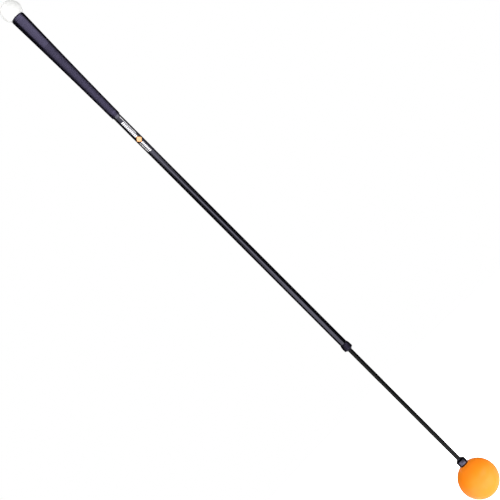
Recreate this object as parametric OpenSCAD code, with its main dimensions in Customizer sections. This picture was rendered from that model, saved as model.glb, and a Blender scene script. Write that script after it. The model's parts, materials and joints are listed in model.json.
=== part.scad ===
// Flexible swing trainer stick: a weighted ball on a springy shaft, with a golf grip at the other end
// and a counterweight ball on the butt of the grip.
// The stick hangs along Z with the grip up. The origin is on its axis, in the middle of the grip.
// All sizes are in millimetres.

/* [Overall] */
// Length from the tip of the counterweight ball to the far side of the weighted ball
overall_l = 1197; // [1141:2:1241]
// Bare rod between the collar and the ferrule
bare_rod_l = 266; // [220:2:300]

/* [Balls] */
// Diameter of the weighted ball
ball_d = 72; // [66:0.2:76]
// Diameter of the steel drum inside the weighted ball
ball_weight_d = 36; // [26:1:40]
// Height of that drum
ball_weight_h = 32; // [20:1:34]
// Diameter of the counterweight ball
counterweight_d = 38.4; // [36:0.2:39.2]
// Thickness of its moulded cover over the steel core
counterweight_cover_t = 5.2; // [4:0.1:7]

/* [Grip] */
// Length of the grip
grip_l = 242; // [226:2:250]
// Diameter of the grip at its butt
grip_butt_d = 26.2; // [25.8:0.1:28]
// Diameter of the grip at its mouth
grip_mouth_d = 16.5; // [15.6:0.1:18]
// How straight the taper is: 1 is a plain cone, and less is hollower, with a wider flare at the butt
grip_taper = 0.6; // [0.4:0.05:1]
// Depth of the cup in the butt that the counterweight ball sits in
butt_cup_depth = 4.8; // [3:0.1:4.8]
// Thickness of the tape under the grip
tape_t = 0.2; // [0.1:0.1:0.4]

/* [Shaft] */
// Diameter of the sleeve over the upper shaft
sleeve_d = 13.6; // [13:0.1:14]
// Wall of the sleeve
sleeve_wall = 1.6; // [1.2:0.1:2]
// Diameter of the core rod
rod_d = 7.6; // [6.8:0.1:8]
// Length of the label band below the grip
label_l = 82; // [60:1:84]

/* [Collar and ferrule] */
// Diameter of the collar at the end of the sleeve
collar_d = 17; // [16.6:0.1:18]
// Length of the collar
collar_l = 16.4; // [15:0.1:18]
// Diameter of the ferrule on the weighted ball
ferrule_d = 17.2; // [16:0.1:18]
// Length of the ferrule
ferrule_l = 14.6; // [13:0.1:17]
// How far the ferrule sinks into the weighted ball
ferrule_sink = 2; // [1.5:0.1:3]

/* [Flex] */
// Furthest turn at each bending point of the sleeve, in degrees
sleeve_bend = 8; // [2:1:10]
// Furthest turn at each bending point of the bare rod, in degrees
rod_bend = 10; // [2:1:12]

/* [Hidden] */
$fn = 96;
GRIP_STEPS = 16; // cones that the hollow taper of the grip is made of

SLEEVE_BENDS = 4; // bending points along the sleeve, turning about X and Y by turns
ROD_BENDS = 4; // and along the bare rod
BENDS = SLEEVE_BENDS + ROD_BENDS;
SLEEVE_LINKS = SLEEVE_BENDS + 1;
ROD_LINKS = BENDS + 1;

straight_below_grip = 92; // stretch of sleeve that carries the label and stays straight
straight_above_collar = 45;
straight_rod_end = 13; // stretch of rod that stays straight beside the collar and the ferrule
link_clear = 0.3; // left between two links at their furthest bend

ball_r = ball_d / 2;
sleeve_r = sleeve_d / 2;
sleeve_bore_r = sleeve_r - sleeve_wall;
rod_r = rod_d / 2;
tape_r = sleeve_r + tape_t;
counterweight_r = counterweight_d / 2;
counterweight_core_r = counterweight_r - counterweight_cover_t;

// Heights, from the butt down
butt_z = grip_l / 2;
mouth_z = -grip_l / 2;
counterweight_z = butt_z - butt_cup_depth + counterweight_r;
tip_z = counterweight_z + counterweight_r;
ball_z = tip_z - overall_l + ball_r;
ball_top_z = ball_z + ball_r;
ferrule_z = ball_top_z - ferrule_sink;
ferrule_top_z = ferrule_z + ferrule_l;
collar_z = ferrule_top_z + bare_rod_l;
collar_top_z = collar_z + collar_l;

// Butt joint: a stud from the counterweight core screws into a plug in the end of the sleeve
stud_r = 3;
stud_grip_in_core = 15;
plug_flange_t = 2;
plug_l = 22;
cap_t = 3.4; // rubber between the cup and the plug
plug_top_z = butt_z - butt_cup_depth - cap_t;
plug_z = plug_top_z - plug_l;
sleeve_top_z = plug_top_z - plug_flange_t;
stud_top_z = counterweight_z - counterweight_core_r + stud_grip_in_core;
stud_z = plug_z + 4;
cup_clear = 0.1;

// Bushes that centre the rod in the sleeve
bush_l = 20;
grip_bush_z = mouth_z + 10;
collar_bush_l = 14;

// Label band
label_t = 0.12;
label_top_z = mouth_z - 5;

// Collar: the sleeve ends on a shoulder inside it, and the rod leaves through its nose
collar_floor_t = 7;
collar_nose_r = rod_r + 1.2;
collar_nose_l = 1;
collar_top_chamfer = 0.8 * (collar_d - sleeve_d) / 2;
collar_bottom_chamfer = 3.2;
sleeve_end_z = collar_z + collar_floor_t;

// Ferrule
ferrule_nose_r = rod_r + 0.7;
ferrule_nose_l = 0.6;
ferrule_top_chamfer = 3.9;
ferrule_bottom_chamfer = 1.4;

// Rod socket inside the weighted ball
socket_r = 6;
socket_flange_r = 10;
socket_flange_t = 3;
socket_floor_t = 3;
weight_top_z = ball_z + ball_weight_h / 2 + 2;
weight_z = weight_top_z - ball_weight_h;
socket_z = weight_z - socket_flange_t;
rod_end_z = socket_z + socket_floor_t;
weight_chamfer = 3;
pin_r = 1.5;
pin_z = (ferrule_z + weight_top_z) / 2;

// Bending points: the height of number i, counted from the grip
sleeve_flex_top = mouth_z - straight_below_grip;
sleeve_flex_bottom = collar_top_z + straight_above_collar;
sleeve_pitch = (sleeve_flex_top - sleeve_flex_bottom) / SLEEVE_BENDS;
rod_flex_top = collar_z - straight_rod_end;
rod_flex_bottom = ferrule_top_z + straight_rod_end;
rod_pitch = (rod_flex_top - rod_flex_bottom) / ROD_BENDS;
function bend_z(i) =
    i <= SLEEVE_BENDS ? sleeve_flex_top - (i - 0.5) * sleeve_pitch
                      : rod_flex_top - (i - SLEEVE_BENDS - 0.5) * rod_pitch;

// The gap at a bending point lets the links on its two sides turn without meeting
function wedge_gap(r, angle) = 2 * r * tan(angle / 2) + link_clear;
sleeve_gap = wedge_gap(sleeve_r, sleeve_bend);
rod_gap = wedge_gap(rod_r, rod_bend);
function bend_gap(i) = i <= SLEEVE_BENDS ? sleeve_gap : rod_gap;
function link_top(i, first) = i == 1 ? first : bend_z(i - 1) - bend_gap(i - 1) / 2;
function link_bottom(i, links, last) = i == links ? last : bend_z(i) + bend_gap(i) / 2;

// Radius of the grip at a height
function grip_r(z) =
    let (up = (z - mouth_z) / grip_l)
    (grip_mouth_d + (grip_butt_d - grip_mouth_d) * (grip_taper * up + (1 - grip_taper) * up * up)) / 2;

// Round bar of radius r from height z0 up to height z1
module bar(r, z0, z1) {
    translate([0, 0, z0])
        cylinder(r = r, h = z1 - z0);
}

// Tube from height z0 up to height z1
module tube(r, bore_r, z0, z1) {
    difference() {
        bar(r, z0, z1);
        bar(bore_r, z0 - 1, z1 + 1);
    }
}

// Drum with a chamfer at each end and a nose on the end that the rod leaves by
module nosed_drum(r, z0, z1, low, high, nose_r, nose_z0, nose_z1) {
    bar(r, z0 + low, z1 - high);
    translate([0, 0, z0])
        cylinder(r1 = r - low, r2 = r, h = low);
    translate([0, 0, z1 - high])
        cylinder(r1 = r, r2 = r - high, h = high);
    bar(nose_r, nose_z0, nose_z1);
}

module counterweight_cover() {
    color("white")
        difference() {
            translate([0, 0, counterweight_z])
                sphere(r = counterweight_r);
            translate([0, 0, counterweight_z])
                sphere(r = counterweight_core_r);
            bar(stud_r, butt_z - butt_cup_depth - 1, counterweight_z);
        }
}

module counterweight_core() {
    color("silver")
        difference() {
            translate([0, 0, counterweight_z])
                sphere(r = counterweight_core_r);
            bar(stud_r, counterweight_z - counterweight_r, stud_top_z);
        }
}

module counterweight_stud() {
    color("gainsboro")
        bar(stud_r, stud_z, stud_top_z);
}

module butt_plug() {
    color("slategray")
        difference() {
            union() {
                bar(sleeve_bore_r, plug_z, plug_top_z);
                bar(tape_r, sleeve_top_z, plug_top_z);
            }
            bar(stud_r, stud_z, plug_top_z + 1);
        }
}

module grip() {
    color("darkslateblue")
        difference() {
            rotate_extrude()
                polygon(
                    concat(
                        [[0, mouth_z]],
                        [for (k = [0:GRIP_STEPS]) let (z = mouth_z + grip_l * k / GRIP_STEPS) [grip_r(z), z]],
                        [[0, butt_z]]
                    )
                );
            bar(tape_r, mouth_z - 1, plug_top_z);
            bar(stud_r, plug_top_z - 1, butt_z);
            translate([0, 0, counterweight_z])
                sphere(r = counterweight_r + cup_clear);
        }
}

module grip_tape() {
    color("khaki")
        tube(tape_r, sleeve_r, mouth_z + 2, sleeve_top_z);
}

module grip_bush() {
    color("dimgray")
        tube(sleeve_bore_r, rod_r, grip_bush_z, grip_bush_z + bush_l);
}

module label_band() {
    color("ivory")
        tube(sleeve_r + label_t, sleeve_r, label_top_z - label_l, label_top_z);
}

module shaft_sleeve(i) {
    color("midnightblue")
        tube(
            sleeve_r,
            sleeve_bore_r,
            link_bottom(i, SLEEVE_LINKS, sleeve_end_z),
            link_top(i, sleeve_top_z)
        );
}

module core_rod(i) {
    color("black")
        difference() {
            bar(rod_r, link_bottom(i, ROD_LINKS, rod_end_z), link_top(i, plug_z));
            if (i == ROD_LINKS)
                socket_pin_hole();
        }
}

module collar_bush() {
    color("dimgray")
        tube(sleeve_bore_r, rod_r, sleeve_end_z, sleeve_end_z + collar_bush_l);
}

module end_collar() {
    color("black")
        difference() {
            nosed_drum(
                collar_d / 2,
                collar_z + collar_nose_l,
                collar_top_z,
                collar_bottom_chamfer,
                collar_top_chamfer,
                collar_nose_r,
                collar_z,
                collar_z + collar_nose_l + collar_bottom_chamfer
            );
            bar(rod_r, collar_z - 1, collar_top_z);
            bar(sleeve_r, sleeve_end_z, collar_top_z + 1);
        }
}

module ball_ferrule() {
    color("black")
        difference() {
            nosed_drum(
                ferrule_d / 2,
                ferrule_z,
                ferrule_top_z - ferrule_nose_l,
                ferrule_bottom_chamfer,
                ferrule_top_chamfer,
                ferrule_nose_r,
                ferrule_top_z - ferrule_nose_l - ferrule_top_chamfer,
                ferrule_top_z
            );
            bar(rod_r, ferrule_z - 1, ferrule_top_z + 1);
        }
}

module rod_socket() {
    color("silver")
        difference() {
            union() {
                bar(socket_r, socket_z, ferrule_z);
                bar(socket_flange_r, socket_z, weight_z);
            }
            bar(rod_r, rod_end_z, ferrule_z + 1);
            socket_pin_hole();
        }
}

// Hole for the cross pin, as long as the socket is wide
module socket_pin_hole() {
    translate([0, 0, pin_z])
        rotate([0, 90, 0])
            cylinder(r = pin_r, h = 2 * socket_r + 2, center = true);
}

module socket_pin() {
    color("gainsboro")
        intersection() {
            socket_pin_hole();
            bar(socket_r, pin_z - 2 * pin_r, pin_z + 2 * pin_r);
        }
}

// Outline of the steel drum, without its bore
module weight_drum() {
    bar(ball_weight_d / 2, weight_z + weight_chamfer, weight_top_z - weight_chamfer);
    translate([0, 0, weight_z])
        cylinder(r1 = ball_weight_d / 2 - weight_chamfer, r2 = ball_weight_d / 2, h = weight_chamfer);
    translate([0, 0, weight_top_z - weight_chamfer])
        cylinder(r1 = ball_weight_d / 2, r2 = ball_weight_d / 2 - weight_chamfer, h = weight_chamfer);
}

module ball_weight() {
    color("gray")
        difference() {
            weight_drum();
            bar(socket_r, weight_z - 1, weight_top_z + 1);
        }
}

module ball_cover() {
    color("darkorange")
        difference() {
            translate([0, 0, ball_z])
                sphere(r = ball_r);
            weight_drum();
            bar(socket_r, socket_z, ferrule_z);
            bar(socket_flange_r, socket_z, weight_z);
            bar(ferrule_d / 2, ferrule_z, ball_top_z + 1);
        }
}

counterweight_cover();
counterweight_core();
counterweight_stud();
butt_plug();
grip();
grip_tape();
grip_bush();
label_band();
for (i = [1:SLEEVE_LINKS])
    shaft_sleeve(i);
for (i = [1:ROD_LINKS])
    core_rod(i);
collar_bush();
end_collar();
ball_ferrule();
rod_socket();
socket_pin();
ball_weight();
ball_cover();
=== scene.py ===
"""Looks of the swing trainer stick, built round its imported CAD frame.

The stick hangs along Z with the grip up. Lengths are in metres, angles in radians.
"""

import json
import math

import bmesh
import bpy
from mathutils import Matrix, Vector


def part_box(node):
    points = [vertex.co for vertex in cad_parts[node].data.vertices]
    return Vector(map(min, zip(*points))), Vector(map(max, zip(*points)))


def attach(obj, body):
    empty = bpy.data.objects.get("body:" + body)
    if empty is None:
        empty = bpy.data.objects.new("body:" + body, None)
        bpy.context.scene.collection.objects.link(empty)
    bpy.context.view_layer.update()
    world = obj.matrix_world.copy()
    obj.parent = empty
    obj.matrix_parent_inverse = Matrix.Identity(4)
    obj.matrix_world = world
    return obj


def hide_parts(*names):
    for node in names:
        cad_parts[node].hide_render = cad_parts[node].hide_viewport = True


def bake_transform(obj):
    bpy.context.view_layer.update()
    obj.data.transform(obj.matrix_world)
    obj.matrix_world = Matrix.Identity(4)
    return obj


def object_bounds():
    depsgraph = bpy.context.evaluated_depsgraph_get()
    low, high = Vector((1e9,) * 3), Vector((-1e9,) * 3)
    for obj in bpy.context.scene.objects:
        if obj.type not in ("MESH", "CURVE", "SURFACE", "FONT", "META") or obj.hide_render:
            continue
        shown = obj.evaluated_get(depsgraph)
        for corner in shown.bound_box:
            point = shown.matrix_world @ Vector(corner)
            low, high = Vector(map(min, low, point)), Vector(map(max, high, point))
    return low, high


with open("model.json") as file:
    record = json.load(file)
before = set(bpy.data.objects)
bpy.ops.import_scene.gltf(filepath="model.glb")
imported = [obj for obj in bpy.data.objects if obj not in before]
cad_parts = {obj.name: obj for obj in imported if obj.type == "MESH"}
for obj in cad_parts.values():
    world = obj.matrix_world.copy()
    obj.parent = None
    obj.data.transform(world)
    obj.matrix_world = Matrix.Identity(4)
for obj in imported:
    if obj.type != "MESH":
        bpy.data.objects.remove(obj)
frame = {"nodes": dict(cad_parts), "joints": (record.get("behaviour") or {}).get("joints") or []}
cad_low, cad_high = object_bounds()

MM = 0.001
FRONT = -math.pi / 2  # the side of the stick that the camera sees, as an angle about Z
FILM_GAP = 0.002 * MM  # between the film and the underside of a mark printed on it


# ---------------------------------------------------------------- sizes, from the frame


def low(node):
    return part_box(node)[0].z


def high(node):
    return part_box(node)[1].z


def radius(node, z=None):
    """Furthest that a CAD node reaches from the axis, at any height or at one where it has an edge."""
    corners = (v.co for v in frame["nodes"][node].data.vertices)
    return max(Vector(c[:2]).length for c in corners if z is None or abs(c.z - z) < 0.01 * MM)


BALL_R = radius("ball_cover")
BALL_Z = low("ball_cover") + BALL_R
COUNTERWEIGHT_R = radius("counterweight_cover")
COUNTERWEIGHT_Z = high("counterweight_cover") - COUNTERWEIGHT_R
BUTT_Z = high("grip")
MOUTH_Z = low("grip")
BUTT_R = radius("grip")
WAIST_R = radius("grip", (BUTT_Z + MOUTH_Z) / 2)
MOUTH_R = radius("grip", MOUTH_Z)
SLEEVE_R = radius("shaft_sleeve_1")
SLEEVE_BORE_R = radius("grip_bush")
ROD_R = radius("core_rod_1")
TAPE_R = radius("grip_tape")
STUD_R = radius("counterweight_stud")
COLLAR_R = radius("end_collar")
FERRULE_R = radius("ball_ferrule")
SOCKET_R = radius("socket_pin")

BENDS = [j["pos_m"][2] for j in frame["joints"]]
SLEEVE_BENDS = sum(j["name"].startswith("sleeve") for j in frame["joints"])


# ---------------------------------------------------------------- mesh helpers


def rounded(corners, steps=5):
    """The outline through corners (r, z, fillet), with each fillet turned as an arc."""
    points = []
    for k, (r, z, fillet) in enumerate(corners):
        here = Vector((r, z))
        if fillet == 0 or k in (0, len(corners) - 1):
            points.append(here)
            continue
        before = (Vector(corners[k - 1][:2]) - here).normalized()
        after = (Vector(corners[k + 1][:2]) - here).normalized()
        half = before.angle(after) / 2
        centre = here + (before + after).normalized() * (fillet / math.sin(half))
        first = here + before * (fillet / math.tan(half)) - centre
        last = here + after * (fillet / math.tan(half)) - centre
        sweep = first.angle_signed(last)
        for s in range(steps + 1):
            turned = Matrix.Rotation(-sweep * s / steps, 2) @ first
            points.append(centre + turned)
    return points


def arc(centre_z, r, start, end, steps):
    """Points of a circle about (0, centre_z). The angle is measured from the axis, down from the top."""
    angles = [start + (end - start) * s / steps for s in range(steps + 1)]
    return [Vector((r * math.sin(a), centre_z + r * math.cos(a))) for a in angles]


def line(start, end, step):
    """Evenly spaced points from one to the other, the ends included."""
    start, end = Vector(start), Vector(end)
    count = max(1, math.ceil((end - start).length / step))
    return [start.lerp(end, k / count) for k in range(count + 1)]


def spun(bm, outline, segments, dent=None):
    """Turns an outline of (r, z) points about Z into rings of vertices. dent(i, j) moves one in or out."""
    rings = []
    for i, (r, z) in enumerate(outline):
        if r < 1e-7:
            rings.append([bm.verts.new((0, 0, z))])
            continue
        ring = []
        for j in range(segments):
            angle = 2 * math.pi * j / segments
            reach = r + (dent(i, j) if dent else 0)
            ring.append(bm.verts.new((reach * math.cos(angle), reach * math.sin(angle), z)))
        rings.append(ring)
    return rings


def bridged(bm, first, second, crossed=None):
    """Faces between two rings. crossed(j) tells which diagonal splits a cell, where cells are split."""
    count = max(len(first), len(second))
    if count == 1:
        return
    for j in range(count):
        k = (j + 1) % count
        if len(first) == 1:
            bm.faces.new((first[0], second[k], second[j]))
        elif len(second) == 1:
            bm.faces.new((first[j], first[k], second[0]))
        elif crossed is None:
            bm.faces.new((first[j], first[k], second[k], second[j]))
        elif crossed(j):
            bm.faces.new((first[j], first[k], second[k]))
            bm.faces.new((first[j], second[k], second[j]))
        else:
            bm.faces.new((first[j], first[k], second[j]))
            bm.faces.new((first[k], second[k], second[j]))


def made(name, bm, finish, sharp=35):
    """The mesh as an object, smooth but for edges sharper than an angle in degrees."""
    bmesh.ops.recalc_face_normals(bm, faces=bm.faces)
    mesh = bpy.data.meshes.new(name)
    bm.to_mesh(mesh)
    bm.free()
    mesh.shade_smooth()
    mesh.set_sharp_from_angle(angle=math.radians(sharp))
    mesh.materials.append(finish)
    piece = bpy.data.objects.new(name, mesh)
    bpy.context.scene.collection.objects.link(piece)
    return piece


def lathe(name, outline, finish, segments=96, closed=False, sharp=35):
    """A turned piece. closed joins the outline's last point to its first, as on a ring or a tube."""
    bm = bmesh.new()
    rings = spun(bm, outline, segments)
    for first, second in zip(rings, rings[1:]):
        bridged(bm, first, second)
    if closed:
        bridged(bm, rings[-1], rings[0])
    return made(name, bm, finish, sharp)


# ---------------------------------------------------------------- materials


class Nodes:
    """Short calls for building a node tree."""

    def __init__(self, tree):
        self.tree = tree

    def add(self, kind, **values):
        node = self.tree.nodes.new(kind)
        for key, value in values.items():
            setattr(node, key, value)
        return node

    def link(self, source, target):
        self.tree.links.new(source, target)


class Finish(Nodes):
    """A material, with textures placed by the object's own coordinates."""

    def __init__(self, name):
        self.material = bpy.data.materials.new(name)
        self.material.use_nodes = True
        super().__init__(self.material.node_tree)
        self.shader = self.tree.nodes["Principled BSDF"]
        self.where = self.add("ShaderNodeTexCoord").outputs["Object"]

    def colour(self, source, stops):
        """Makes the shader's colour from a value, by stops of (place, (r, g, b))."""
        self.link(self.ramp(source, stops), self.shader.inputs["Base Color"])

    def settings(self, values):
        """Sets the shader's inputs by name."""
        for key, value in values.items():
            self.shader.inputs[key].default_value = value

    def scaled(self, factors):
        """The place on the object, scaled by a factor along each axis."""
        mapping = self.add("ShaderNodeMapping")
        mapping.inputs["Scale"].default_value = factors
        self.link(self.where, mapping.inputs["Vector"])
        return mapping.outputs["Vector"]

    def noise(self, scale, detail=3.0, roughness=0.5, stretch=(1, 1, 1)):
        """Noise with features about 1 / scale metres across, drawn out along an axis by a small stretch."""
        node = self.add("ShaderNodeTexNoise")
        node.inputs["Scale"].default_value = scale
        node.inputs["Detail"].default_value = detail
        node.inputs["Roughness"].default_value = roughness
        self.link(self.scaled(stretch), node.inputs["Vector"])
        return node.outputs["Fac"]

    def ramp(self, source, stops):
        """Colours by value: stops are (place, (r, g, b))."""
        node = self.add("ShaderNodeValToRGB")
        elements = node.color_ramp.elements
        for k, (place, colour) in enumerate(stops):
            element = elements[k] if k < 2 else elements.new(place)
            element.position = place
            element.color = (*colour, 1)
        self.link(source, node.inputs["Fac"])
        return node.outputs["Color"]

    def span(self, source, low_value, high_value, start=0.3, end=0.7):
        """source from start to end becomes low_value to high_value."""
        node = self.add("ShaderNodeMapRange")
        node.inputs["From Min"].default_value = start
        node.inputs["From Max"].default_value = end
        node.inputs["To Min"].default_value = low_value
        node.inputs["To Max"].default_value = high_value
        self.link(source, node.inputs["Value"])
        return node.outputs["Result"]

    def bump(self, source, height):
        """A bump of that height in metres."""
        node = self.add("ShaderNodeBump")
        node.inputs["Distance"].default_value = height
        self.link(source, node.inputs["Height"])
        return node.outputs["Normal"]


def shaded(base, share):
    """A colour, darkened or lightened by a share of itself."""
    return tuple(min(1.0, c * (1 + share)) for c in base)


def moulded(name, base, rough, spread=0.12, mottle=60, grain=900, grain_depth=0.03 * MM, **shader):
    """Moulded plastic or rubber: cloudy colour, uneven gloss, fine grain. Other values go to the shader."""
    n = Finish(name)
    cloud = n.noise(mottle, detail=4)
    n.colour(cloud, [(0.3, shaded(base, -spread)), (0.7, shaded(base, spread))])
    gloss = n.noise(mottle * 3, detail=5, roughness=0.6)
    n.link(n.span(gloss, *rough), n.shader.inputs["Roughness"])
    n.link(n.bump(n.noise(grain, detail=2), grain_depth), n.shader.inputs["Normal"])
    n.settings(shader)
    return n.material


def drawn(name, base, rough, metallic=0.0, along=0.02, depth=0.02 * MM, **shader):
    """A bar or tube drawn along Z: cloudy colour, and fine lines along it in gloss and height."""
    n = Finish(name)
    lines = n.noise(2500, detail=2, stretch=(1, 1, along))
    cloud = n.noise(40, detail=3)
    n.colour(cloud, [(0.3, shaded(base, -0.12)), (0.7, shaded(base, 0.12))])
    n.link(n.span(lines, *rough), n.shader.inputs["Roughness"])
    n.link(n.bump(lines, depth), n.shader.inputs["Normal"])
    n.settings({"Metallic": metallic, **shader})
    return n.material


def weave(name, base, thread):
    """Woven tape: two sets of threads that cross."""
    n = Finish(name)
    threads = []
    for stretch in ((1, 1, 0), (0, 0, 1)):
        wave = n.add("ShaderNodeTexWave", wave_profile="SIN", bands_direction="DIAGONAL")
        wave.inputs["Scale"].default_value = 1 / thread
        n.link(n.scaled(stretch), wave.inputs["Vector"])
        threads.append(wave.outputs["Fac"])
    crossed = n.add("ShaderNodeMath", operation="MAXIMUM")
    n.link(threads[0], crossed.inputs[0])
    n.link(threads[1], crossed.inputs[1])
    n.colour(crossed.outputs[0], [(0, shaded(base, -0.3)), (1, base)])
    n.link(n.span(n.noise(400), 0.75, 0.95), n.shader.inputs["Roughness"])
    n.link(n.bump(crossed.outputs[0], 0.05 * MM), n.shader.inputs["Normal"])
    return n.material


def sheen(red, green):
    """Shader values for a black surface whose gloss is tinted towards blue."""
    return {"Specular IOR Level": 1.0, "Specular Tint": (red, green, 1.0, 1.0)}


VIOLET_SHEEN = sheen(0.64, 0.57)
LILAC_SHEEN = sheen(0.74, 0.68)
BLUE_SHEEN = sheen(0.79, 0.77)

GRIP_RUBBER = moulded(
    "grip_rubber", (0.0022, 0.0019, 0.0034), (0.18, 0.26), spread=0.25, mottle=45, grain=2200,
    IOR=1.7, **VIOLET_SHEEN,
)
SLEEVE_PLASTIC = drawn("sleeve_plastic", (0.0018, 0.0017, 0.0026), (0.10, 0.16), IOR=1.8, **BLUE_SHEEN)
ROD_FIBRE = drawn(
    "rod_fibre", (0.0016, 0.0016, 0.0016), (0.12, 0.19), along=0.01, **{"Specular IOR Level": 0.35}
)
COLLAR_RUBBER = moulded(
    "collar_rubber", (0.002, 0.0018, 0.003), (0.28, 0.38), mottle=120, IOR=1.42, **VIOLET_SHEEN
)
FERRULE_LACQUER = moulded(
    "ferrule_lacquer", (0.002, 0.0018, 0.003), (0.12, 0.2), mottle=120, IOR=2.0, **LILAC_SHEEN
)
LABEL_FILM = moulded(
    "label_film", (0.0018, 0.0017, 0.0026), (0.18, 0.26), mottle=150, grain=1500, IOR=1.58, **BLUE_SHEEN
)
PRINT_WHITE = moulded("print_white", (0.80, 0.79, 0.82), (0.45, 0.6), spread=0.06, mottle=500)
PRINT_ORANGE = moulded("print_orange", (0.74, 0.31, 0.08), (0.45, 0.6), spread=0.08, mottle=500)
PRINT_CREAM = moulded("print_cream", (0.72, 0.51, 0.28), (0.45, 0.6), spread=0.06, mottle=500)
COUNTERWEIGHT_WHITE = moulded(
    "counterweight_white", (0.72, 0.72, 0.71), (0.30, 0.42), spread=0.02, mottle=80, grain=700,
    grain_depth=0.02 * MM,
)
BALL_ORANGE = moulded(
    "ball_orange", (0.95, 0.235, 0.010), (0.42, 0.54), spread=0.05, mottle=35, grain=1100,
    **{"Specular IOR Level": 0.15, "Coat Weight": 0.5, "Coat Roughness": 0.25},
)
STEEL = drawn("turned_steel", (0.56, 0.57, 0.58), (0.25, 0.38), metallic=1.0, along=1.0)
ALLOY = drawn("turned_alloy", (0.72, 0.73, 0.74), (0.3, 0.45), metallic=1.0, along=1.0)
BUSH_PLASTIC = moulded("bush_plastic", (0.2, 0.2, 0.2), (0.5, 0.65))
TAPE = weave("grip_tape", (0.72, 0.66, 0.5), 0.8 * MM)


# ---------------------------------------------------------------- the butt ball and the grip


def counterweight_ball():
    """White ball with a fine parting line round it and the mark of its mould gate on top."""
    r, line_w, line_h = COUNTERWEIGHT_R, 0.35 * MM, 0.08 * MM
    gate_r, gate_depth = 1.6 * MM, 0.15 * MM
    foot = math.pi - math.asin(STUD_R / r)
    seam = line_w / r
    gate_z = COUNTERWEIGHT_Z + r - gate_depth
    outline = [Vector((0, gate_z)), Vector((gate_r * 0.8, gate_z))]
    outline += arc(COUNTERWEIGHT_Z, r, math.asin(gate_r / r), math.pi / 2 - seam, 30)
    outline += [Vector((r + line_h, COUNTERWEIGHT_Z))]
    outline += arc(COUNTERWEIGHT_Z, r, math.pi / 2 + seam, foot, 30)
    core_r = radius("counterweight_core")
    inner_foot = math.pi - math.asin(STUD_R / core_r)
    outline += arc(COUNTERWEIGHT_Z, core_r, inner_foot, 0, 24)
    piece = lathe("counterweight_ball", outline, COUNTERWEIGHT_WHITE, segments=128)
    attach(piece, "handle")
    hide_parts("counterweight_cover")


def grip_side(z, inset=0.0):
    """Point on the hollow taper, which is the parabola through the frame's three radii."""
    up = (z - MOUTH_Z) / (BUTT_Z - MOUTH_Z)
    straight = 4 * WAIST_R - 3 * MOUTH_R - BUTT_R
    curved = 2 * (BUTT_R + MOUTH_R - 2 * WAIST_R)
    return (MOUTH_R + straight * up + curved * up**2 - inset, z)


def ring_groove(z):
    """Corners of a shallow groove round the grip, with their fillets."""
    half_w, depth = 0.5 * MM, 0.3 * MM
    return [
        (*grip_side(z + half_w), 0.15 * MM),
        (*grip_side(z, depth), 0.2 * MM),
        (*grip_side(z - half_w), 0.15 * MM),
    ]


def grip_moulding():
    """Tapered grip: a bevelled lip round the butt's cup, ring grooves, and a fine diamond pattern."""
    segments, spacing, groove = 144, 6, 0.12 * MM
    lip_w, lip_l = 0.8 * MM, 3.0 * MM
    plain_butt, plain_mouth = 12 * MM, 7 * MM
    cup_r = COUNTERWEIGHT_R + 0.1 * MM
    cup_start = math.pi - math.asin(STUD_R / cup_r)
    cup_end = math.pi - math.asin((BUTT_R - lip_w) / cup_r)
    cap_under = high("butt_plug")

    bm = bmesh.new()
    cup = arc(COUNTERWEIGHT_Z, cup_r, cup_start, cup_end, 16)
    butt = cup[:-2] + rounded(
        [(*cup[-2], 0), (*cup[-1], 0.25 * MM), (*grip_side(BUTT_Z - lip_l), 1.2 * MM)]
        + ring_groove(BUTT_Z - 5 * MM)
        + ring_groove(BUTT_Z - 8 * MM)
        + [(*grip_side(BUTT_Z - plain_butt), 0)]
    )
    mouth = rounded(
        [(*grip_side(MOUTH_Z + plain_mouth), 0)]
        + ring_groove(MOUTH_Z + 3 * MM)
        + [(*grip_side(MOUTH_Z), 0.5 * MM), (TAPE_R, MOUTH_Z, 0.2 * MM)]
        + [(TAPE_R, cap_under, 0), (STUD_R, cap_under, 0)]
    )
    cell = 2 * math.pi * WAIST_R / segments
    heights = line((0, BUTT_Z - plain_butt), (0, MOUTH_Z + plain_mouth), cell)
    body = [Vector(grip_side(h.y)) for h in heights]

    def dent(i, j):
        edge = min(i, len(body) - 1 - i)
        on_line = (i + j) % spacing == 0 or (i - j) % spacing == 0
        return -groove * min(1.0, edge / 2) if on_line else 0.0

    body_rings = spun(bm, body, segments, dent)
    butt_rings = spun(bm, butt[:-1], segments) + [body_rings[0]]
    mouth_rings = [body_rings[-1]] + spun(bm, mouth[1:], segments)
    for i, (first, second) in enumerate(zip(body_rings, body_rings[1:])):
        bridged(bm, first, second, crossed=lambda j, i=i: (i - j) % spacing == 0)
    for rings in (butt_rings, mouth_rings):
        for first, second in zip(rings, rings[1:]):
            bridged(bm, first, second)
    bridged(bm, mouth_rings[-1], butt_rings[0])
    piece = made("grip_moulding", bm, GRIP_RUBBER, sharp=40)
    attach(piece, "handle")
    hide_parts("grip")


# ---------------------------------------------------------------- the label


LABEL_R = SLEEVE_R + 0.12 * MM
PRINT_T = 0.03 * MM


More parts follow.
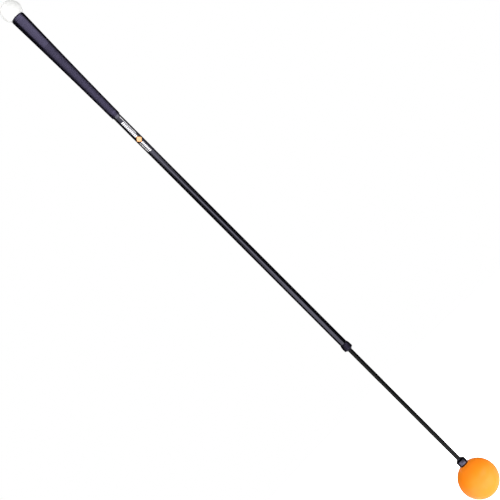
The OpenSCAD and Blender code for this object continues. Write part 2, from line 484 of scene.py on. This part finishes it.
def label_film():
    """Printed film round the sleeve, with a lap seam at the back."""
    segments, lap_cells, lap_h = 96, 5, 0.08 * MM
    back = segments // 4
    top, bottom, edge = high("label_band"), low("label_band"), 0.05 * MM
    outline = [
        Vector((SLEEVE_R, top)),
        Vector((LABEL_R - edge, top)),
        Vector((LABEL_R, top - edge)),
        *line((LABEL_R, top - 1 * MM), (LABEL_R, bottom + 1 * MM), 4 * MM),
        Vector((LABEL_R, bottom + edge)),
        Vector((LABEL_R - edge, bottom)),
        Vector((SLEEVE_R, bottom)),
    ]

    def lap(i, j):
        over = 0 <= j - back < lap_cells and 0 < i < len(outline) - 1
        return lap_h if over else 0.0

    bm = bmesh.new()
    rings = spun(bm, outline, segments, lap)
    for first, second in zip(rings, rings[1:] + rings[:1]):
        bridged(bm, first, second)
    piece = made("label_film", bm, LABEL_FILM)
    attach(piece, "handle")
    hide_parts("label_band")


def printed(bm, corner, along, across, cells=6, lift=0.0):
    """One four-sided mark on the film. Its corner and sides are (down the stick, round it) in metres."""

    def point(u, v, height):
        down = corner[0] + along[0] * u + across[0] * v
        round_it = corner[1] + along[1] * u + across[1] * v
        angle = FRONT + round_it / LABEL_R
        r = LABEL_R + lift + height
        return bm.verts.new((r * math.cos(angle), r * math.sin(angle), high("label_band") - down))

    steps = [k / cells for k in range(cells + 1)]
    top = [[point(u, v, PRINT_T) for v in steps] for u in steps]
    bottom = [[point(u, v, FILM_GAP) for v in steps] for u in steps]
    for i in range(cells):
        for j in range(cells):
            bm.faces.new((top[i][j], top[i + 1][j], top[i + 1][j + 1], top[i][j + 1]))
            bm.faces.new((bottom[i][j], bottom[i][j + 1], bottom[i + 1][j + 1], bottom[i + 1][j]))
    for i in range(cells):
        for a, b in (((i, 0), (i + 1, 0)), ((i + 1, cells), (i, cells))):
            bm.faces.new((bottom[a[0]][a[1]], bottom[b[0]][b[1]], top[b[0]][b[1]], top[a[0]][a[1]]))
        for a, b in (((0, i + 1), (0, i)), ((cells, i), (cells, i + 1))):
            bm.faces.new((bottom[a[0]][a[1]], bottom[b[0]][b[1]], top[b[0]][b[1]], top[a[0]][a[1]]))


def diamond(name, centre, half, finish, lift=0.0):
    """A square mark that stands on its corner, half a diagonal from its centre to each corner."""
    bm = bmesh.new()
    down, across = centre
    printed(bm, (down - half, across), (half, half), (half, -half), lift=lift)
    piece = made(name, bm, finish)
    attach(piece, "handle")


def label_marks():
    """Plain marks: leaning bars, fine rows of ticks, and a framed diamond between them."""
    bm = bmesh.new()
    bar_w, lean, pitch = 2.3 * MM, 1.0 * MM, 3.2 * MM
    for start, count, middle, bar_h in (
        (10.9 * MM, 11, -0.4 * MM, 4.9 * MM),
        (58.2 * MM, 7, 0.2 * MM, 3.8 * MM),
    ):
        for k in range(count):
            printed(bm, (start + k * pitch, middle - bar_h / 2), (bar_w, 0), (lean, bar_h))
    tick_w, tick_h, tick_pitch = 1.1 * MM, 1.2 * MM, 1.5 * MM
    for start, count, middle in ((1.2 * MM, 27, 3.7 * MM), (58.2 * MM, 14, -4.3 * MM)):
        for k in range(count):
            printed(bm, (start + k * tick_pitch, middle - tick_h / 2), (tick_w, 0), (0, tick_h), cells=2)
    bars = made("label_bars", bm, PRINT_WHITE)
    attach(bars, "handle")

    centre = (52.2 * MM, 0)
    diamond("label_diamond_frame", centre, 6.4 * MM, PRINT_ORANGE)
    diamond("label_diamond", centre, 5.1 * MM, PRINT_CREAM, lift=PRINT_T)


# ---------------------------------------------------------------- the shaft


def shaft_length(name, r, bore_r, top, bottom, finish, nodes):
    """A length of the sleeve or the rod, reaching half a pitch to each side of a bending point."""
    end = 0.2 * MM
    outline = [Vector((r - end, top)), Vector((r, top - end))]
    outline += line((r, top - 1 * MM), (r, bottom + 1 * MM), 4 * MM)
    outline += [Vector((r, bottom + end)), Vector((r - end, bottom))]
    if bore_r:
        outline += line((bore_r, bottom), (bore_r, top), 4 * MM)
        piece = lathe(name, outline, finish, segments=64, closed=True)
    else:
        outline = [Vector((0, top)), *outline, Vector((0, bottom))]
        piece = lathe(name, outline, finish, segments=48)
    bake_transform(piece)
    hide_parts(*nodes)


def shaft_part(stem, node, r, bore_r, finish, bends):
    """The sleeve or the rod, parted midway between its bending points, so that each length holds one."""
    count = len(bends)
    midways = [(a + b) / 2 for a, b in zip(bends, bends[1:])]
    cuts = [high(f"{node}_1"), *midways, low(f"{node}_{count + 1}")]
    for k in range(count):
        nodes = [f"{node}_{k + 1}"]
        if k + 1 == count:
            nodes.append(f"{node}_{count + 1}")
        shaft_length(f"{stem}_{k + 1}", r, bore_r, cuts[k], cuts[k + 1], finish, nodes)


def shaft():
    bends = BENDS[:SLEEVE_BENDS]
    shaft_part("sleeve", "shaft_sleeve", SLEEVE_R, SLEEVE_BORE_R, SLEEVE_PLASTIC, bends)
    shaft_part("rod", "core_rod", ROD_R, 0, ROD_FIBRE, BENDS)


def collar():
    """Barrel-shaped collar that swells from the sleeve, with a seam line, and a chamfer down to the rod."""
    top, bottom, r = high("end_collar"), low("end_collar"), COLLAR_R
    shoulder = low(f"shaft_sleeve_{SLEEVE_BENDS + 1}")
    edge_z, edge_h, edge_w = top - 1.0 * MM, 0.3 * MM, 0.4 * MM
    seam_z, seam_half_w, seam_depth = top - 3.0 * MM, 0.5 * MM, 0.25 * MM
    swell_l, swell_r = 7 * MM, 8 * MM
    nose_r, nose_l, chamfer = ROD_R + 0.8 * MM, 0.5 * MM, 2.3 * MM
    outline = rounded(
        [
            (SLEEVE_R, edge_z - edge_h, 0),
            (SLEEVE_R + edge_w, edge_z, 0.2 * MM),
            (r - 0.7 * MM, seam_z + seam_half_w, 0.6 * MM),
            (r - 0.6 * MM - seam_depth, seam_z, 0.1 * MM),
            (r - 0.45 * MM, seam_z - seam_half_w, 0.3 * MM),
            (r, top - swell_l, swell_r),
            (r, bottom + nose_l + chamfer, 0.5 * MM),
            (nose_r, bottom + nose_l, 0.3 * MM),
            (nose_r, bottom, 0.3 * MM),
            (ROD_R, bottom, 0.2 * MM),
            (ROD_R, shoulder, 0),
            (SLEEVE_R, shoulder, 0),
        ],
        steps=6,
    )
    piece = lathe("collar", outline, COLLAR_RUBBER, closed=True, sharp=50)
    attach(piece, "collar_shaft")
    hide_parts("end_collar")


def ferrule():
    """Ferrule on the ball: a short drum, with a long chamfer up to the rod and a foot in the ball."""
    top, bottom, r = high("ball_ferrule"), low("ball_ferrule"), FERRULE_R
    nose_r, nose_l, chamfer = ROD_R + 0.7 * MM, 0.5 * MM, 3.3 * MM
    foot_h, foot_w = 3.2 * MM, 1.4 * MM
    outline = rounded(
        [
            (ROD_R, top, 0),
            (nose_r, top, 0.2 * MM),
            (nose_r, top - nose_l, 0.2 * MM),
            (r, top - nose_l - chamfer, 0.6 * MM),
            (r, bottom + foot_h, 0.3 * MM),
            (r - foot_w, bottom, 0.4 * MM),
            (ROD_R, bottom, 0),
        ],
        steps=6,
    )
    piece = lathe("ferrule", outline, FERRULE_LACQUER, closed=True, sharp=50)
    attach(piece, "ball_end")
    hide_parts("ball_ferrule")


def orange_ball():
    """Moulded ball with a lip round the ferrule, a faint parting line and a gate mark at the far end."""
    r = BALL_R
    line_w, line_h = 0.4 * MM, 0.06 * MM
    gate_r, gate_depth = 2.4 * MM, 0.2 * MM
    seat_r, seat_z = FERRULE_R + 0.7 * MM, low("ball_ferrule")
    lip_r, lip_h, lip_spread = seat_r + 0.7 * MM, 0.4 * MM, 2.4 * MM
    seam = line_w / r
    start = math.asin((seat_r + lip_spread) / r)

    def skin(at_r):
        return BALL_Z + math.sqrt(r**2 - at_r**2)

    weight_top, weight_low, weight_r = high("ball_weight"), low("ball_weight"), radius("ball_weight")
    chamfer = 3 * MM
    socket_low, flange_r = low("rod_socket"), radius("rod_socket")
    outline = [Vector((SOCKET_R, seat_z))]
    outline += rounded(
        [
            (seat_r, seat_z, 0),
            (seat_r, skin(seat_r) + lip_h * 0.6, 0.2 * MM),
            (lip_r, skin(lip_r) + lip_h, 0.5 * MM),
            (lip_r + 0.7 * MM, skin(lip_r + 0.7 * MM), 0.4 * MM),
            (seat_r + lip_spread, skin(seat_r + lip_spread), 0),
        ]
    )
    outline += arc(BALL_Z, r, start, math.pi / 2 - seam, 56)[1:]
    outline += [Vector((r + line_h, BALL_Z))]
    outline += arc(BALL_Z, r, math.pi / 2 + seam, math.pi - math.asin(gate_r / r), 64)
    gate_z = BALL_Z - r + gate_depth
    outline += [Vector((gate_r * 0.85, gate_z)), Vector((0, gate_z))]
    cavity = [
        (0, socket_low),
        (flange_r, socket_low),
        (flange_r, weight_low),
        (weight_r - chamfer, weight_low),
        (weight_r, weight_low + chamfer),
        (weight_r, weight_top - chamfer),
        (weight_r - chamfer, weight_top),
        (SOCKET_R, weight_top),
    ]
    outline += [Vector(p) for p in cavity]
    piece = lathe("orange_ball", outline, BALL_ORANGE, segments=160, closed=True)
    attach(piece, "ball_end")
    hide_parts("ball_cover")


# ---------------------------------------------------------------- the CAD nodes that stay


def finish_hidden_parts():
    finishes = {
        "counterweight_core": STEEL,
        "counterweight_stud": STEEL,
        "butt_plug": ALLOY,
        "grip_tape": TAPE,
        "grip_bush": BUSH_PLASTIC,
        "collar_bush": BUSH_PLASTIC,
        "rod_socket": ALLOY,
        "socket_pin": STEEL,
        "ball_weight": STEEL,
    }
    for node, finish in finishes.items():
        mesh = frame["nodes"][node].data
        mesh.materials.clear()
        mesh.materials.append(finish)


# ---------------------------------------------------------------- the studio


CAMERA_DISTANCE = 1.88
VIEW_WIDTH = 0.864  # what the camera sees across, at the stick
VIEW_ROLL = math.radians(45)  # the stick runs from the upper left of the view to the lower right
VIEW_CENTRE_BELOW_TIP = 0.6026  # down the stick, from the top of the white ball


def camera():
    data = bpy.data.cameras.new("camera")
    data.lens = data.sensor_width * CAMERA_DISTANCE / VIEW_WIDTH
    eye = bpy.data.objects.new("camera", data)
    right = Vector((math.cos(VIEW_ROLL), 0, -math.sin(VIEW_ROLL)))
    up = Vector((math.sin(VIEW_ROLL), 0, math.cos(VIEW_ROLL)))
    back = Vector((0, -1, 0))
    place = Vector((0, -CAMERA_DISTANCE, cad_high.z - VIEW_CENTRE_BELOW_TIP))
    eye.matrix_world = Matrix.Translation(place) @ Matrix((right, up, back)).transposed().to_4x4()
    bpy.context.scene.collection.objects.link(eye)
    bpy.context.scene.camera = eye


def diffuser(name, place, target, size, power):
    """Soft lamp whose own image shows in no gloss, so that it only lifts the paler pieces."""
    data = bpy.data.lights.new(name, "AREA")
    data.size = size
    data.energy = power
    lamp = bpy.data.objects.new(name, data)
    lamp.location = place
    lamp.rotation_euler = (Vector(target) - lamp.location).to_track_quat("-Z", "Y").to_euler()
    lamp.visible_camera = False
    lamp.visible_glossy = False
    bpy.context.scene.collection.objects.link(lamp)


class Sky(Nodes):
    """Soft panels for the stick's gloss, placed by direction: degrees round from a side, and up."""

    def __init__(self, name):
        world = bpy.data.worlds.new(name)
        world.use_nodes = True
        bpy.context.scene.world = world
        super().__init__(world.node_tree)
        direction = self.add("ShaderNodeTexCoord").outputs["Generated"]
        split = self.add("ShaderNodeSeparateXYZ")
        self.link(direction, split.inputs[0])
        x, y, z = split.outputs
        self.azimuth = {
            "front": self.degrees("ARCTAN2", x, self.calc("MULTIPLY", y, -1)),
            "back": self.degrees("ARCTAN2", x, y),
        }
        self.elevation = self.degrees("ARCSINE", z)
        self.light = None

    def calc(self, operation, *values):
        node = self.add("ShaderNodeMath", operation=operation)
        for k, value in enumerate(values):
            if isinstance(value, (int, float)):
                node.inputs[k].default_value = value
            else:
                self.link(value, node.inputs[k])
        return node.outputs[0]

    def degrees(self, operation, *values):
        return self.calc("DEGREES", self.calc(operation, *values))

    def edge(self, value, at, soft):
        """0 to 1 as value rises past a place."""
        node = self.add("ShaderNodeMapRange", interpolation_type="SMOOTHSTEP")
        node.inputs["From Min"].default_value = at - soft
        node.inputs["From Max"].default_value = at + soft
        self.link(value, node.inputs["Value"])
        return node.outputs["Result"]

    def between(self, value, start, end, soft):
        return self.calc("SUBTRACT", self.edge(value, start, soft), self.edge(value, end, soft))

    def panel(self, side, azimuths, elevations, strength, soft=8, soft_up=3):
        across = self.between(self.azimuth[side], *azimuths, soft)
        up = self.between(self.elevation, *elevations, soft_up)
        glow = self.calc("MULTIPLY", self.calc("MULTIPLY", across, up), strength)
        self.light = self.calc("MAXIMUM", self.light, glow) if self.light else glow

    def finish(self, fill):
        """White surroundings for the camera, and the panels over a dim fill for everything else."""
        panels = self.tree.nodes["Background"]
        self.link(self.calc("ADD", self.light, fill), panels.inputs["Strength"])
        panels.inputs["Color"].default_value = (1, 1, 1, 1)
        white = self.add("ShaderNodeBackground")
        white.inputs["Color"].default_value = (1, 1, 1, 1)
        mix = self.add("ShaderNodeMixShader")
        self.link(self.add("ShaderNodeLightPath").outputs["Is Camera Ray"], mix.inputs["Fac"])
        self.link(panels.outputs["Background"], mix.inputs[1])
        self.link(white.outputs["Background"], mix.inputs[2])
        self.link(mix.outputs["Shader"], self.tree.nodes["World Output"].inputs["Surface"])


def panels():
    """Each panel makes one highlight, which its comment names as the camera sees it."""
    sky = Sky("studio")
    # the streak down the middle of the grip and the sleeve
    sky.panel("front", (-17, 19), (-8, 27), 1.05)
    # the broad gloss of the grip, and its brighter right side
    sky.panel("front", (-56, 84), (7.5, 27), 1.2, soft=10, soft_up=1.5)
    sky.panel("front", (10, 68), (7.5, 27), 1.6, soft=12, soft_up=1.5)
    # the left side of the sleeve near the collar, and of the rod
    sky.panel("front", (-66, 8), (-8, -1), 0.88, soft=12)
    sky.panel("front", (-80, -12), (-26, -8), 0.9, soft=12)
    # the patch on the ferrule
    sky.panel("front", (-20, 66), (-60, -15.2), 1.8, soft_up=1)
    # the streak down the back, and the broad gloss of the back from above
    sky.panel("back", (-10, 10), (-60, 60), 0.8, soft=3)
    sky.panel("back", (-60, 60), (-60, -24), 0.8, soft=12, soft_up=14)
    sky.finish(fill=0.003)


def floor():
    """Floor that glows white, most of all near the ball."""
    bm = bmesh.new()
    place = Matrix.Translation((0, 0, cad_low.z - 0.5 * MM))
    bmesh.ops.create_circle(bm, cap_ends=True, segments=96, radius=1.6, matrix=place)
    n = Finish("pale_floor")
    n.colour(n.noise(2), [(0.3, (0.34, 0.34, 0.34)), (0.7, (0.36, 0.36, 0.36))])
    n.settings({"Roughness": 0.9, "Specular IOR Level": 0.0, "Emission Color": (1, 1, 1, 1)})
    out_from_stick = n.add("ShaderNodeVectorMath", operation="LENGTH")
    n.link(n.scaled((1, 1, 0)), out_from_stick.inputs[0])
    glow = n.span(out_from_stick.outputs["Value"], 2.2, 1.1, start=0.15, end=0.6)
    n.link(glow, n.shader.inputs["Emission Strength"])
    ground = made("floor", bm, n.material)
    ground.visible_glossy = False  # the rod keeps its dark edges, although it stands over a white floor


def studio():
    """The panels, the floor, three soft lamps round the orange ball and four round the white one."""
    panels()
    floor()
    orange_centre = Vector((0, 0, BALL_Z))
    for name, away, size, power in (
        ("front_diffuser", (0.9, -1.1, 0.1), 0.8, 17),
        ("upper_diffuser", (-0.6, -0.8, 1.1), 0.6, 7),
        ("back_diffuser", (-0.4, 1.2, 0.9), 0.6, 9),
    ):
        diffuser(name, orange_centre + Vector(away), orange_centre, size, power)
    white_centre = Vector((0, 0, COUNTERWEIGHT_Z))
    reach, size = 0.6, 0.3
    for name, toward, power in (
        ("white_ball_left", (-0.9, -0.1, 0.1), 1.4),
        ("white_ball_right", (0.9, 0.35, 0.3), 1.4),
        ("white_ball_top", (-0.1, -0.1, 1.0), 3.0),
        ("white_ball_back", (0.1, 1.0, 0.4), 2.0),
    ):
        diffuser(name, white_centre + Vector(toward).normalized() * reach, white_centre, size, power)


# ---------------------------------------------------------------- build


counterweight_ball()
grip_moulding()
label_film()
label_marks()
shaft()
collar()
ferrule()
orange_ball()
finish_hidden_parts()
camera()
studio()
bpy.context.scene.view_settings.view_transform = "Standard"
